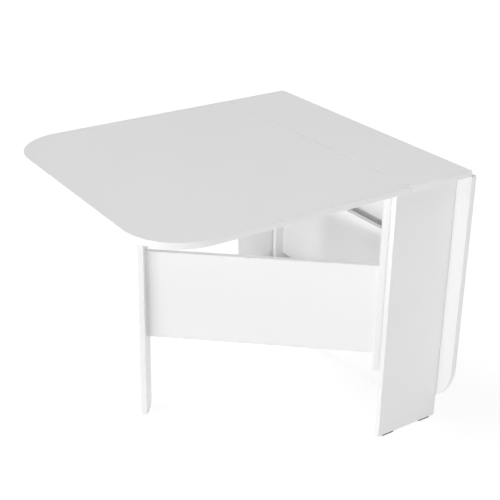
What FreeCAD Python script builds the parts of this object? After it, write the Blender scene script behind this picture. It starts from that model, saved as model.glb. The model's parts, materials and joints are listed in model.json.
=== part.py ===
"""Gateleg table: a narrow fixed top on two end panels, two hinged leaves and two swinging gates.

All sizes are in millimetres. +Z is up, +X runs across the table towards the hanging leaf and +Y runs
along its 800 mm edges, from the near end panel to the far one. The origin is on the floor, under the
middle of the whole table's outline. The left leaf is raised on the left gate, which stands half open.
The right leaf hangs, and the right gate behind it is closed.
"""
import FreeCAD, Part
import os
import re
from types import SimpleNamespace

import Sketcher
from FreeCAD import Placement, Rotation, Vector

SIZES = {
    # boards
    "board": 16,               # thickness of every laminated board
    "band": 1,                 # thickness of the edge banding
    "table_height": 746,
    "top_length": 800,
    "top_width": 200,
    "leaf_length": 700,
    "corner_radius": 145,
    "seam_gap": 1,
    "end_overhang": 48,        # of the top beyond each end panel
    "low_rail_bottom": 69,
    "low_rail_height": 160,
    "top_rail_height": 100,
    # gates, measured from the outer face of the stile to the outer face of the leg
    "gate_length": 639,
    "gate_depth": 70,          # width of the leg and the stile
    "gate_angle": 50,
    "gate_rail_bottom": 239,
    "gate_rail_height": 255,
    "stile_bottom": 200,
    "stile_top_gap": 9,        # clears the knuckles of the leaf hinge
    "leg_top_gap": 0.5,
    # glides
    "glide_height": 4,
    "glide_length": 40,
    "glide_width": 15.4,
    "glide_inset": 15,
    "glide_rounding": 0.6,
    # piano hinges
    "leaf_hinge_length": 560,
    "gate_hinge_length": 500,
    "gate_hinge_bottom": 211,
    "knuckle_count": 20,
    "knuckle_radius": 1.2,
    "knuckle_gap": 0.3,        # around the knuckles, and from a leaf hinge's axis to its boards
    "seat_slack": 0.2,         # around the plates of the leaf hinges in their seats
    "plate": 1,
    "plate_width": 20,
    "hinge_pin_radius": 0.65,
    "hinge_bore_radius": 0.7,
    "hinge_screw_count": 6,
    # countersunk screws of the hinges and brackets
    "screw_radius": 1.5,
    "screw_head_radius": 2.8,
    "screw_head_height": 1,
    "screw_length": 12,
    # one-piece connectors between the gate rails and their uprights
    "connector_radius": 2.5,
    "connector_head_radius": 4.5,
    "connector_head_height": 3,
    "connector_length": 50,
    "connector_setback": 40,
    "cap_radius": 6,
    "cap_height": 1,
    "drill_slack": 0.05,       # radial, around every screw, bolt, cam and dowel
    # cam fittings and dowels of the fixed rails
    "cam_radius": 7.5,
    "cam_depth": 12,
    "cam_setback": 34,
    "bolt_radius": 2.5,
    "bolt_grip": 11,           # depth of the cam bolt in the end panel
    "dowel_radius": 4,
    "dowel_length": 30,
    "dowel_grip": 10,
    # brackets under the fixed top
    "bracket": 1.5,
    "bracket_leg": 25,
    "bracket_width": 14,
    "bracket_offset": 13,
    "bracket_screw_offset": 16,
}

doc = FreeCAD.newDocument("gateleg_table")
nodes = []


def fill_sheet():
    """Writes every size to the spreadsheet, one aliased cell each, and returns the cells' values."""
    sheet = doc.addObject("Spreadsheet::Sheet", "sizes")
    for row, (name, number) in enumerate(SIZES.items(), start=1):
        sheet.set(f"A{row}", name)
        sheet.set(f"B{row}", str(number))
        sheet.setAlias(f"B{row}", name)
    doc.recompute()
    return SimpleNamespace(**{name: float(sheet.get(name)) for name in SIZES})


S = fill_sheet()
UNDERSIDE = S.table_height - S.board
PANEL_INNER = S.top_length / 2 - S.end_overhang - S.board
HINGE_RISE = S.knuckle_radius + S.knuckle_gap      # from a hinge's axis to the backs of its plates
LEAF_RISE = S.knuckle_gap                          # from a leaf hinge's axis to its boards' undersides
SEAM = S.top_width / 2 + S.seam_gap / 2            # from the middle of the fixed top to a leaf hinge
HANGING_OUTER = SEAM + LEAF_RISE + S.board
MIDDLE = (SEAM + S.seam_gap / 2 + S.leaf_length - HANGING_OUTER) / 2

X, Y, Z = Vector(1, 0, 0), Vector(0, 1, 0), Vector(0, 0, 1)
STANDING = Rotation(Z, X, Y, "XYZ")                # board length up, width across, thickness along Y
ON_EDGE = Rotation(Y, Z, X, "XYZ")                 # board length along Y, width up, thickness along X
HALF_TURN = Placement(Vector(), Rotation(Z, 180))


def shift(x=0.0, y=0.0, z=0.0, rotation=None):
    return Placement(Vector(x, y, z), rotation or Rotation())


# The frames that the pieces are laid out in. The carcass frame stands on the floor, in the middle of
# the fixed top. In a leaf frame, Y is the hinge axis and X points to the leaf's free edge. In a gate
# frame, Z is the hinge axis, Y runs along the closed gate and X points into the table.
CARCASS = shift(MIDDLE)
RIGHT_SEAM = CARCASS * shift(SEAM, 0, UNDERSIDE - LEAF_RISE)
LEFT_SEAM = CARCASS * HALF_TURN * shift(SEAM, 0, UNDERSIDE - LEAF_RISE)
POST = shift(-S.top_width / 2 + S.knuckle_radius, -PANEL_INNER + HINGE_RISE)
LEFT_POST = CARCASS * POST
RIGHT_POST = CARCASS * HALF_TURN * POST
RAISED_LEAF = LEFT_SEAM
HANGING_LEAF = RIGHT_SEAM * shift(rotation=Rotation(Y, 90))
OPEN_GATE = LEFT_POST * shift(rotation=Rotation(Z, S.gate_angle))
CLOSED_GATE = RIGHT_POST


def formula(text):
    """Turns size names into references to the spreadsheet's cells."""
    return re.sub(r"[a-z_]+", lambda word: "sizes." + word.group(), text)


def bind(thing, **sizes):
    for size_property, text in sizes.items():
        thing.setExpression(size_property, formula(text))
    return thing


def node(thing, label, frame=None):
    """Names a finished piece and moves it from its own frame into the table's."""
    thing.Label = label
    if frame is not None:
        thing.Placement = frame * thing.Placement
    nodes.append(thing)
    return thing


def box(length, width, height, place):
    thing = bind(doc.addObject("Part::Box", "block"), Length=length, Width=width, Height=height)
    thing.Placement = place
    return thing


def cylinder(radius, height, place):
    thing = bind(doc.addObject("Part::Cylinder", "rod"), Radius=radius, Height=height)
    thing.Placement = place
    return thing


def cone(low_radius, high_radius, height, place):
    thing = bind(doc.addObject("Part::Cone", "taper"), Radius1=low_radius, Radius2=high_radius, Height=height)
    thing.Placement = place
    return thing


def fuse(pieces):
    thing = doc.addObject("Part::MultiFuse", "joined")
    thing.Shapes = pieces
    return thing


def group(pieces):
    thing = doc.addObject("Part::Compound", "group")
    thing.Links = pieces
    return thing


def cut(base, tools):
    thing = doc.addObject("Part::Cut", "cut")
    thing.Base = base
    thing.Tool = group(tools)
    return thing


# Boards


def new_sketch(body):
    sketch = body.newObject("Sketcher::SketchObject", "outline")
    floor = next(part for part in body.Origin.OriginFeatures if part.Role == "XY_Plane")
    sketch.AttachmentSupport = [(floor, "")]
    sketch.MapMode = "FlatFace"
    return sketch


def dimension(sketch, name, text, *constraint):
    index = sketch.addConstraint(Sketcher.Constraint(*constraint))
    sketch.renameConstraint(index, name)
    sketch.setExpression(f"Constraints.{name}", formula(text))


def draw_rectangle(sketch, length, width):
    """A rectangle with one corner at the origin."""
    corners = [Vector(0, 0), Vector(100, 0), Vector(100, 50), Vector(0, 50)]
    for here, there in zip(corners, corners[1:] + corners[:1]):
        sketch.addGeometry(Part.LineSegment(here, there), False)
    for side in range(4):
        sketch.addConstraint(Sketcher.Constraint("Coincident", side, 2, (side + 1) % 4, 1))
    for side, direction in enumerate(["Horizontal", "Vertical", "Horizontal", "Vertical"]):
        sketch.addConstraint(Sketcher.Constraint(direction, side))
    sketch.addConstraint(Sketcher.Constraint("Coincident", 0, 1, -1, 1))
    dimension(sketch, "length", length, "DistanceX", 0, 1, 0, 2, 100)
    dimension(sketch, "width", width, "DistanceY", 1, 1, 1, 2, 50)


def draw_leaf(sketch, start, reach, width, radius):
    """A rectangle centred on X, from start to reach, with its two far corners rounded."""
    low, high, half, bend = 10, 200, 100, 40
    sketch.addGeometry(Part.LineSegment(Vector(low, -half), Vector(high - bend, -half)), False)
    near = Part.Circle(Vector(high - bend, bend - half), Z, bend)
    sketch.addGeometry(Part.ArcOfCircle(near, -1.5708, 0), False)
    sketch.addGeometry(Part.LineSegment(Vector(high, bend - half), Vector(high, half - bend)), False)
    far = Part.Circle(Vector(high - bend, half - bend), Z, bend)
    sketch.addGeometry(Part.ArcOfCircle(far, 0, 1.5708), False)
    sketch.addGeometry(Part.LineSegment(Vector(high - bend, half), Vector(low, half)), False)
    sketch.addGeometry(Part.LineSegment(Vector(low, half), Vector(low, -half)), False)
    for here in range(4):
        sketch.addConstraint(Sketcher.Constraint("Tangent", here, 2, here + 1, 1))
    sketch.addConstraint(Sketcher.Constraint("Coincident", 4, 2, 5, 1))
    sketch.addConstraint(Sketcher.Constraint("Coincident", 5, 2, 0, 1))
    sketch.addConstraint(Sketcher.Constraint("Horizontal", 0))
    sketch.addConstraint(Sketcher.Constraint("Vertical", 2))
    sketch.addConstraint(Sketcher.Constraint("Horizontal", 4))
    sketch.addConstraint(Sketcher.Constraint("Symmetric", 5, 1, 5, 2, -1))
    sketch.addConstraint(Sketcher.Constraint("Equal", 1, 3))
    dimension(sketch, "radius", radius, "Radius", 1, bend)
    dimension(sketch, "start", start, "DistanceX", -1, 1, 5, 1, low)
    dimension(sketch, "reach", reach, "DistanceX", -1, 1, 2, 1, high)
    dimension(sketch, "width", width, "DistanceY", 5, 2, 5, 1, 2 * half)


def pad(body, sketch, thickness):
    feature = bind(body.newObject("PartDesign::Pad", "pad"), Length=thickness)
    feature.Profile = sketch
    body.Tip = feature
    return feature


def blank(length, width, place):
    """A board lying flat from the origin, before drilling, moved to its place."""
    body = doc.addObject("PartDesign::Body", "blank")
    sketch = new_sketch(body)
    draw_rectangle(sketch, length, width)
    pad(body, sketch, "board")
    body.Placement = place
    return body


def drilled(label, board, holes, frame):
    """Cuts holes, given in the table's frame, in a board given in its own frame."""
    place = frame * board.Placement
    board.Placement = Placement()
    tools = [drill(place.inverse()) for drill in holes]
    return node(cut(board, tools), label, place)


def board_node(label, length, width, corner, rotation, frame, holes=()):
    board = blank(length, width, Placement(corner, rotation))
    if holes:
        return drilled(label, board, holes, frame)
    return node(board, label, frame)


# Holes are kept as functions of the frame that they are wanted in, so that one screw can drill both
# the plate and the board that it passes through.


def rod_hole(radius, height, place):
    return lambda frame: cylinder(radius + " + drill_slack", height, frame * place)


def screw_hole(kind, place):
    """A countersunk hole: a taper for the head, then a bore for the shank."""
    def drill(frame):
        slack = " + drill_slack"
        head = cone(
            f"{kind}_head_radius{slack}", f"{kind}_radius{slack}", f"{kind}_head_height", frame * place
        )
        shank = cylinder(f"{kind}_radius{slack}", f"{kind}_length{slack}", frame * place)
        return fuse([head, shank])
    return drill


def screws(label, kind, places, frame):
    """Identical countersunk screws, each with its head's face at its place, pointing along +Z."""
    pieces = []
    for place in places:
        head = cone(f"{kind}_head_radius", f"{kind}_radius", f"{kind}_head_height", place)
        shank = cylinder(f"{kind}_radius", f"{kind}_length", place)
        pieces.append(fuse([head, shank]))
    node(group(pieces), label, frame)
    return [screw_hole(kind, frame * place) for place in places]


# Piano hinges; those of the leaves are let into their boards. A half is laid out with its pin along Z,
# its plate along +X and its board at +Y, and has every second knuckle, so the same half turned end for
# end is its partner.


def hinge_half(label, length_name, frame):
    """Makes one plate with its knuckles and its screws, and returns the screws' holes."""
    length = getattr(S, length_name)
    pitch = length / S.knuckle_count
    back = HINGE_RISE - S.plate
    plate = box("plate_width - knuckle_radius - knuckle_gap", "plate", length_name, shift(HINGE_RISE, back))
    pieces = [plate]
    for index in range(0, int(S.knuckle_count), 2):
        start = index * pitch + S.knuckle_gap / 2
        tall = f"{length_name} / knuckle_count - knuckle_gap"
        tab = box("knuckle_radius + knuckle_gap", "plate", tall, shift(0, back, start))
        pieces += [tab, cylinder("knuckle_radius", tall, shift(z=start))]
    step = length / S.hinge_screw_count
    centre = (HINGE_RISE + S.plate_width) / 2
    places = [
        shift(centre, back, (index + 0.5) * step, Rotation(Z, Y))
        for index in range(int(S.hinge_screw_count))
    ]
    tools = [cylinder("hinge_bore_radius", length_name, shift())]
    tools += [screw_hole("screw", place)(Placement()) for place in places]
    node(cut(fuse(pieces), tools), label + "_plate", frame)
    return screws(label + "_screws", "screw", places, frame)


def seat(frame):
    """The recess that half a leaf hinge lies in, open towards the edge of its board."""
    width = "plate_width + knuckle_radius + knuckle_gap + seat_slack"
    height = "leaf_hinge_length + 2 * seat_slack"
    corner = shift(-HINGE_RISE, 0, -S.seat_slack)
    return lambda wanted: box(width, "knuckle_radius + knuckle_gap", height, wanted * frame * corner)


def leaf_hinge(side, seam, leaf):
    """The hinge of a leaf; returns the cuts in the fixed top and those in the leaf, each seat first."""
    half = shift(0, S.leaf_hinge_length / 2, 0, Rotation(X, 90))
    name = f"{side}_leaf_hinge"
    pin = cylinder("hinge_pin_radius", "leaf_hinge_length", half)
    node(pin, name + "_pin", seam)
    cuts = []
    for part, frame in (("_inner", seam * HALF_TURN * half), ("_outer", leaf * half)):
        cuts.append([seat(frame)] + hinge_half(name + part, "leaf_hinge_length", frame))
    return cuts


def gate_hinge(side, post, gate):
    """The hinge of a gate; returns the holes in the end panel and those in the stile."""
    bottom = shift(z=S.gate_hinge_bottom)
    turned = shift(z=S.gate_hinge_bottom + S.gate_hinge_length, rotation=Rotation(X, 180))
    name = f"{side}_gate_hinge"
    pin = cylinder("hinge_pin_radius", "gate_hinge_length", bottom)
    node(pin, name + "_pin", post)
    panel_holes = hinge_half(name + "_inner", "gate_hinge_length", post * turned)
    stile_holes = hinge_half(name + "_outer", "gate_hinge_length", gate * bottom)
    return panel_holes, stile_holes


# Leaves


def leaf_body(start, reach, width, radius):
    body = doc.addObject("PartDesign::Body", "leaf_blank")
    sketch = new_sketch(body)
    draw_leaf(sketch, start, reach, width, radius)
    pad(body, sketch, "board")
    return body


def leaf(side, frame, cuts):
    """The laminated core of a leaf and the banding around it, with the hinge's seat and holes."""
    core = leaf_body(
        "seam_gap / 2 + band",
        "seam_gap / 2 + leaf_length - band",
        "top_length - 2 * band",
        "corner_radius - band",
    )
    core.Placement = shift(z=LEAF_RISE)
    drilled(f"{side}_leaf", core, cuts, frame)

    rim = leaf_body("seam_gap / 2", "seam_gap / 2 + leaf_length", "top_length", "corner_radius")
    inside = leaf_body(
        "0 * band", "seam_gap / 2 + leaf_length - band", "top_length - 2 * band", "corner_radius - band"
    )
    strip_start = shift(S.seam_gap / 2, -S.top_length / 2 + S.band)
    strip = box("band", "top_length - 2 * band", "board", strip_start)
    banding = group([cut(rim, [inside]), strip])
    banding.Placement = shift(z=LEAF_RISE)
    drilled(f"{side}_leaf_edging", banding, cuts[:1], frame)


# Gates


def gate(side, frame, stile_holes):
    """A gate's leg, stile and rail, laid out in its hinge's frame."""
    front = -S.knuckle_radius
    rail_front = front + (S.gate_depth - S.board) / 2
    leg_start = HINGE_RISE + S.gate_length - S.board
    leg_height = "table_height - board - glide_height - leg_top_gap"
    stile_height = "table_height - board - stile_top_gap - stile_bottom"
    core_depth = "gate_depth - 2 * band"

    rail_axis = rail_front + S.board / 2
    heights = [
        S.gate_rail_bottom + S.connector_setback,
        S.gate_rail_bottom + S.gate_rail_height - S.connector_setback,
    ]
    leg_end = HINGE_RISE + S.gate_length
    from_leg = [shift(rail_axis, leg_end, height, Rotation(Z, -Y)) for height in heights]
    from_stile = [shift(rail_axis, HINGE_RISE, height, Rotation(Z, Y)) for height in heights]
    drills = screws(f"{side}_gate_connectors", "connector", from_leg + from_stile, frame)
    leg_drills, stile_drills = drills[:2], drills[2:]

    corner = Vector(front + S.band, leg_start, S.glide_height)
    board_node(f"{side}_gate_leg", leg_height, core_depth, corner, STANDING, frame, leg_drills)
    corner = Vector(front + S.band, HINGE_RISE, S.stile_bottom)
    holes = stile_holes + stile_drills
    board_node(f"{side}_gate_stile", stile_height, core_depth, corner, STANDING, frame, holes)
    rail_length = "gate_length - 2 * board"
    rail_height = "gate_rail_height - 2 * band"
    corner = Vector(rail_front, HINGE_RISE + S.board, S.gate_rail_bottom + S.band)
    board_node(f"{side}_gate_rail", rail_length, rail_height, corner, ON_EDGE, frame, drills)

    strips = []
    for edge in (front, front + S.gate_depth - S.band):
        strips.append(box("band", "board", leg_height, shift(edge, leg_start, S.glide_height)))
        strips.append(box("band", "board", stile_height, shift(edge, HINGE_RISE, S.stile_bottom)))
    for edge in (S.gate_rail_bottom, S.gate_rail_bottom + S.gate_rail_height - S.band):
        strips.append(box("board", rail_length, "band", shift(rail_front, HINGE_RISE + S.board, edge)))
    node(group(strips), f"{side}_gate_edging", frame)

    caps = [cylinder("cap_radius", "cap_height", shift(rail_axis, leg_end, height, Rotation(Z, Y)))
            for height in heights]
    node(group(caps), f"{side}_gate_caps", frame)
    middle = shift(front + S.gate_depth / 2, leg_start + S.board / 2)
    glide(f"{side}_gate_glide", frame * middle)


def glide(label, frame):
    """A plastic glide, centred on its frame, with its rim rounded where it meets the floor."""
    body = doc.addObject("PartDesign::Body", "glide_blank")
    sketch = new_sketch(body)
    draw_rectangle(sketch, "glide_length", "glide_width")
    base = pad(body, sketch, "glide_height")
    doc.recompute()
    rim = [
        f"Edge{index}"
        for index, edge in enumerate(base.Shape.Edges, start=1)
        if edge.BoundBox.ZMax < S.glide_height / 2
    ]
    rounding = body.newObject("PartDesign::Fillet", "rounding")
    rounding.Base = (base, rim)
    bind(rounding, Radius="glide_rounding")
    body.Tip = rounding
    body.Placement = shift(-S.glide_length / 2, -S.glide_width / 2)
    node(body, label, frame)


# Carcass


def end_joints(rail_height, bottom):
    """Cam fittings and dowels at both ends of a fixed rail, in the carcass frame."""
    joints = SimpleNamespace(cams=[], bolts=[], dowels=[])
    for end in (1, -1):
        along = Rotation(Z, -Y * end)      # from the end panel towards the middle of the rail
        for part_way in (0.2, 0.8):
            height = bottom + part_way * rail_height
            start = end * (PANEL_INNER + S.bolt_grip)
            joints.bolts.append(shift(0, start, height, along))
            centre = end * (PANEL_INNER - S.cam_setback)
            joints.cams.append(shift(S.board / 2, centre, height, Rotation(Z, -X)))
        start = end * (PANEL_INNER + S.dowel_grip)
        joints.dowels.append(shift(0, start, bottom + rail_height / 2, along))
    return joints


def carcass(left_cuts, right_cuts, near_holes, far_holes):
    """The fixed top, the end panels and the rails between them, with their fittings. The cuts are those
    for the leaf hinges in the top, each seat first, and the holes those for the gate hinges."""
    low = end_joints(S.low_rail_height, S.low_rail_bottom)
    high = end_joints(S.top_rail_height, UNDERSIDE - S.top_rail_height)
    bolt_length = "bolt_grip + cam_setback"

    bolts = [rod_hole("bolt_radius", bolt_length, CARCASS * place) for place in low.bolts + high.bolts]
    cams = [rod_hole("cam_radius", "cam_depth", CARCASS * place) for place in low.cams + high.cams]
    dowels = [rod_hole("dowel_radius", "dowel_length", CARCASS * place) for place in low.dowels + high.dowels]

    pieces = [cylinder("bolt_radius", bolt_length, place) for place in low.bolts + high.bolts]
    node(group(pieces), "rail_cam_bolts", CARCASS)
    pieces = []
    for cam_place, bolt_place in zip(low.cams + high.cams, low.bolts + high.bolts):
        bore = cylinder("bolt_radius + drill_slack", bolt_length, bolt_place)
        pieces.append(cut(cylinder("cam_radius", "cam_depth", cam_place), [bore]))
    node(group(pieces), "rail_cams", CARCASS)
    pieces = [cylinder("dowel_radius", "dowel_length", place) for place in low.dowels + high.dowels]
    node(group(pieces), "rail_dowels", CARCASS)

    rail_length = "top_length - 2 * end_overhang - 2 * board"
    corner = Vector(-S.board / 2, -PANEL_INNER, S.low_rail_bottom + S.band)
    holes = bolts[:4] + cams[:4] + dowels[:2]
    board_node("low_rail", rail_length, "low_rail_height - 2 * band", corner, ON_EDGE, CARCASS, holes)
    strips = [
        box("board", rail_length, "band", shift(-S.board / 2, -PANEL_INNER, height))
        for height in (S.low_rail_bottom, S.low_rail_bottom + S.low_rail_height - S.band)
    ]
    node(group(strips), "low_rail_edging", CARCASS)
    corner = Vector(-S.board / 2, -PANEL_INNER, UNDERSIDE - S.top_rail_height)
    holes = bolts[4:] + cams[4:] + dowels[2:]
    board_node("top_rail", rail_length, "top_rail_height", corner, ON_EDGE, CARCASS, holes)

    bracket_holes = brackets()
    top_corner = Vector(-S.top_width / 2 + S.band, -S.top_length / 2 + S.band, UNDERSIDE)
    board_node(
        "fixed_top",
        "top_width - 2 * band",
        "top_length - 2 * band",
        top_corner,
        Rotation(),
        CARCASS,
        left_cuts + right_cuts + bracket_holes.top,
    )
    strips = []
    for edge in (-S.top_width / 2, S.top_width / 2 - S.band):
        strips.append(box("band", "top_length", "board", shift(edge, -S.top_length / 2, UNDERSIDE)))
    for edge in (-S.top_length / 2, S.top_length / 2 - S.band):
        place = shift(-S.top_width / 2 + S.band, edge, UNDERSIDE)
        strips.append(box("top_width - 2 * band", "band", "board", place))
    drilled("fixed_top_edging", group(strips), [left_cuts[0], right_cuts[0]], CARCASS)

    near = shift(-S.top_width / 2, -PANEL_INNER - S.board, S.glide_height)
    far = shift(-S.top_width / 2, PANEL_INNER, S.glide_height)
    near_holes = near_holes + bracket_holes.near + bolts[2:4] + bolts[6:] + [dowels[1], dowels[3]]
    far_holes = far_holes + bracket_holes.far + bolts[:2] + bolts[4:6] + [dowels[0], dowels[2]]
    for side, place, holes in (("near", near, near_holes), ("far", far, far_holes)):
        end_panel(side, CARCASS * place, holes)


def end_panel(side, frame, holes):
    """An end panel with its banding and its two glides; the frame is its lower left corner."""
    height = "table_height - board - glide_height"
    width = "top_width - 2 * band"
    board_node(f"{side}_end_panel", height, width, Vector(S.band, 0, 0), STANDING, frame, holes)
    strips = [box("band", "board", height, shift(edge)) for edge in (0, S.top_width - S.band)]
    node(group(strips), f"{side}_end_panel_edging", frame)
    for name, middle in (
        ("left", S.glide_inset + S.glide_length / 2),
        ("right", S.top_width - S.glide_inset - S.glide_length / 2),
    ):
        glide(f"{side}_{name}_glide", frame * shift(middle, S.board / 2, -S.glide_height))


def brackets():
    """Four angle brackets between the end panels and the fixed top; returns their screw holes."""
    leg, width, thick = "bracket_leg", "bracket_width", "bracket"
    middle = S.bracket_width / 2
    places = [
        shift(middle, S.bracket, -S.bracket_screw_offset, Rotation(Z, -Y)),
        shift(middle, S.bracket_screw_offset, -S.bracket),
    ]
    holes = SimpleNamespace(top=[], near=[], far=[])
    all_screws = []
    for side, turn in (("near", Placement()), ("far", HALF_TURN)):
        for name, start in (("left", -S.bracket_offset - S.bracket_width), ("right", S.bracket_offset)):
            if side == "far":
                name = {"left": "right", "right": "left"}[name]
            place = turn * shift(start, -PANEL_INNER, UNDERSIDE)
            upright = box(width, thick, leg, shift(z=-S.bracket_leg))
            shelf = box(width, leg, thick, shift(z=-S.bracket))
            tools = [screw_hole("screw", screw)(Placement()) for screw in places]
            node(cut(fuse([upright, shelf]), tools), f"{side}_{name}_bracket", CARCASS * place)
            panel_hole, top_hole = (screw_hole("screw", CARCASS * place * screw) for screw in places)
            getattr(holes, side).append(panel_hole)
            holes.top.append(top_hole)
            all_screws += [place * screw for screw in places]
    screws("bracket_screws", "screw", all_screws, CARCASS)
    return holes


def check_and_export():
    doc.recompute()
    for thing in doc.Objects:
        if "Invalid" in thing.State or "Error" in thing.State:
            raise RuntimeError(f"{thing.Label} failed: {thing.State}")
    os.makedirs("parts", exist_ok=True)
    for thing in nodes:
        if thing.Shape.isNull() or not thing.Shape.isValid() or not thing.Shape.Solids:
            raise RuntimeError(f"{thing.Label} has no valid solid")
        thing.Shape.exportStep(f"parts/{thing.Label}.step")
    print(len(nodes), "nodes written")


left_top, left_leaf = leaf_hinge("left", LEFT_SEAM, RAISED_LEAF)
right_top, right_leaf = leaf_hinge("right", RIGHT_SEAM, HANGING_LEAF)
near_panel, left_stile = gate_hinge("left", LEFT_POST, OPEN_GATE)
far_panel, right_stile = gate_hinge("right", RIGHT_POST, CLOSED_GATE)
leaf("left", RAISED_LEAF, left_leaf)
leaf("right", HANGING_LEAF, right_leaf)
gate("left", OPEN_GATE, left_stile)
gate("right", CLOSED_GATE, right_stile)
carcass(left_top, right_top, near_panel, far_panel)
check_and_export()
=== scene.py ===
"""Looks of the gateleg table: banded laminate boards, hinges, fittings, floor, light and camera.

Every board of the CAD frame is replaced by a laminate core and separate edge banding with small
roundings, and the fasteners by ones with driver recesses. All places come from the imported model.
"""

import json
import math

import bmesh
import bpy
from mathutils import Matrix, Vector


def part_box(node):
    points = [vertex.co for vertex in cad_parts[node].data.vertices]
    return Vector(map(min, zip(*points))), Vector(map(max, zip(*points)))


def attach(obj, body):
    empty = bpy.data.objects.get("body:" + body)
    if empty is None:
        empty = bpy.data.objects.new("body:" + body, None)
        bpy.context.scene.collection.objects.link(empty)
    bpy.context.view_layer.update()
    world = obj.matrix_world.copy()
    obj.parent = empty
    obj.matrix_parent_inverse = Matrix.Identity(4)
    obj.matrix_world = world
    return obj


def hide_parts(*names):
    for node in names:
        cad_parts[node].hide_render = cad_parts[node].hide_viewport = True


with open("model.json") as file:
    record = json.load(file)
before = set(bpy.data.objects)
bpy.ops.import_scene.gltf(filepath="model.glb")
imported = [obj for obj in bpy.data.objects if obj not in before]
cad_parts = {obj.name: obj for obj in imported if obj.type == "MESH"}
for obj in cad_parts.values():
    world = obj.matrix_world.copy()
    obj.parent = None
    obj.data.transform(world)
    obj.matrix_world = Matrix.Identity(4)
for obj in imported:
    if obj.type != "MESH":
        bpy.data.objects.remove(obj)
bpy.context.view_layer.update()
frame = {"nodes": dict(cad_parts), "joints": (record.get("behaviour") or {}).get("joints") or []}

MM = 0.001
NODES = frame["nodes"]
JOINTS = {joint["name"]: joint for joint in frame["joints"]}
KNUCKLES = 20
HINGE_SPANS = {          # lowest and highest place of the hinges along Y and along Z
    axis: [corner[axis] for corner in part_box(pin)]
    for axis, pin in ((1, "left_leaf_hinge_pin"), (2, "left_gate_hinge_pin"))
}


# Materials


class Tree:
    """A material's node tree with short ways to add nodes and links."""

    def __init__(self, name, preview):
        self.material = bpy.data.materials.new(name)
        self.material.use_nodes = True
        self.material.diffuse_color = (*preview, 1)
        self.nodes = self.material.node_tree.nodes
        self.links = self.material.node_tree.links
        self.shader = self.nodes["Principled BSDF"]
        self.place = self.add("ShaderNodeTexCoord").outputs["Object"]

    def add(self, kind, **settings):
        """A new node."""
        node = self.nodes.new(kind)
        for key, value in settings.items():
            setattr(node, key, value)
        return node

    def feed(self, value, socket):
        """Links a socket, or sets a number or colour."""
        if isinstance(value, bpy.types.NodeSocket):
            self.links.new(value, socket)
        else:
            socket.default_value = value

    def math(self, operation, first, second=0.0):
        node = self.add("ShaderNodeMath", operation=operation)
        self.feed(first, node.inputs[0])
        self.feed(second, node.inputs[1])
        return node.outputs[0]

    def stretched(self, scale, place=None):
        """Object coordinates, or others, multiplied axis by axis."""
        node = self.add("ShaderNodeVectorMath", operation="MULTIPLY")
        self.feed(place or self.place, node.inputs[0])
        self.feed(scale, node.inputs[1])
        return node.outputs[0]

    def noise(self, scale, detail=3.0, roughness=0.5, place=None):
        node = self.add("ShaderNodeTexNoise")
        self.feed(place or self.place, node.inputs["Vector"])
        node.inputs["Scale"].default_value = scale
        node.inputs["Detail"].default_value = detail
        node.inputs["Roughness"].default_value = roughness
        return node.outputs["Fac"]

    def cells(self, scale, output="Distance", feature="F1", place=None):
        node = self.add("ShaderNodeTexVoronoi", feature=feature)
        self.feed(place or self.place, node.inputs["Vector"])
        node.inputs["Scale"].default_value = scale
        return node.outputs[output]

    def fit(self, value, low, high, new_low, new_high):
        """A value remapped from one range to another and kept inside it."""
        node = self.add("ShaderNodeMapRange", clamp=True)
        self.feed(value, node.inputs["Value"])
        sockets = ("From Min", "From Max", "To Min", "To Max")
        for socket, number in zip(sockets, (low, high, new_low, new_high)):
            self.feed(number, node.inputs[socket])
        return node.outputs["Result"]

    def mix(self, factor, first, second):
        node = self.add("ShaderNodeMix", data_type="RGBA")
        self.feed(factor, node.inputs["Factor"])
        self.feed(colour(first), node.inputs[6])
        self.feed(colour(second), node.inputs[7])
        return node.outputs[2]

    def attribute(self, name):
        return self.add("ShaderNodeAttribute", attribute_name=name).outputs["Fac"]

    def bump(self, height, distance, strength=1.0, below=None):
        """A bump, on top of another one if given."""
        node = self.add("ShaderNodeBump")
        self.feed(height, node.inputs["Height"])
        node.inputs["Distance"].default_value = distance
        node.inputs["Strength"].default_value = strength
        if below is not None:
            self.feed(below, node.inputs["Normal"])
        return node.outputs["Normal"]

    def finish(self, base, roughness, normal=None, **constants):
        """Feeds the shader; constants set its other sockets by name."""
        self.feed(colour(base), self.shader.inputs["Base Color"])
        self.feed(roughness, self.shader.inputs["Roughness"])
        if normal is not None:
            self.feed(normal, self.shader.inputs["Normal"])
        for key, value in constants.items():
            self.shader.inputs[key.replace("_", " ")].default_value = value
        return self.material


def colour(value):
    """A grey number or a colour as RGBA; a socket as it is."""
    if isinstance(value, bpy.types.NodeSocket):
        return value
    if isinstance(value, (int, float)):
        value = (value, value, value)
    return (*value[:3], 1)


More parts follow.
